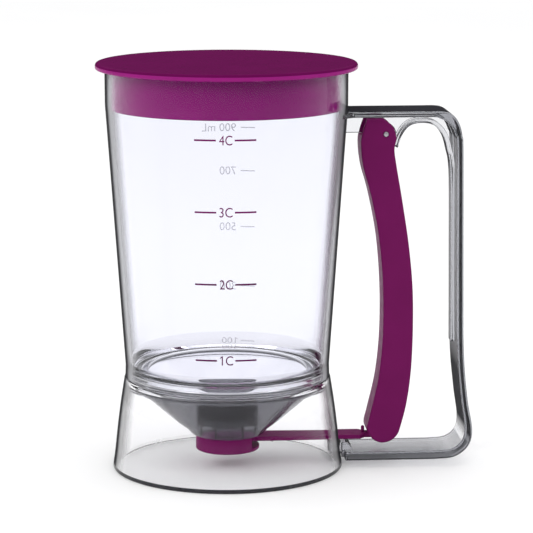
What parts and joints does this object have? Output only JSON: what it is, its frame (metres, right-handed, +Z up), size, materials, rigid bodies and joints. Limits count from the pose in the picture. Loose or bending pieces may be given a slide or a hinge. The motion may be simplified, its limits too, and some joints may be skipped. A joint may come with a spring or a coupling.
{
  "type": "batter dispenser",
  "caption": "Clear funnel-bottomed batter dispenser with lift-off lid, strap handle and a squeeze trigger that slides a gate off its outlet.",
  "frame": {"origin": "middle of the whole object's footprint, on the surface that it stands on; the jug's own axis is at X = -0.0271", "axes": "+Z up, +X towards the handle, -Y the side with the cup scale"},
  "size_m": [0.1756, 0.1214, 0.1914],
  "materials": {
    "purple_gloss": "glossy opaque purple moulding",
    "purple_satin": "satin opaque purple moulding",
    "clear_plastic": "clear glossy moulded plastic",
    "smoke_plastic": "grey-tinted clear plastic",
    "purple_silicone": "soft matt purple seal",
    "steel": "plain drawn steel"
  },
  "bodies": {
    "jug_assembly": {"jug": "clear_plastic", "funnel": "smoke_plastic", "base_skirt": "clear_plastic", "outlet_sleeve": "smoke_plastic", "valve_seat": "purple_silicone", "valve_housing": "purple_gloss", "handle": "clear_plastic", "return_spring": "steel"},
    "trigger": {"trigger": "purple_satin", "pivot_pin": "steel", "pin_clip": "steel"},
    "gate": {"gate_slide": "purple_satin"},
    "lid": {"lid": "purple_gloss"}
  },
  "joints": [
    {"name": "trigger_hinge", "type": "hinge", "parent": "jug_assembly", "child": "trigger", "pos_m": [0.0463, 0, 0.1579], "axis": [0, -1, 0], "range_deg": [0, 7.2], "stiffness_Nm_per_rad": 0.25, "springref_deg": -11.46, "deforming": ["return_spring"]},
    {"name": "gate_travel", "type": "slide", "parent": "jug_assembly", "child": "gate", "axis": [1, 0, 0], "range_m": [0, 0.018]},
    {"name": "lid_lift", "type": "slide", "parent": "jug_assembly", "child": "lid", "axis": [0, 0, 1], "range_m": [0, 0.06]}
  ],
  "couplings": [
    {"joint": "gate_travel", "follows": "trigger_hinge", "m_per_rad": 0.1416}
  ]
}
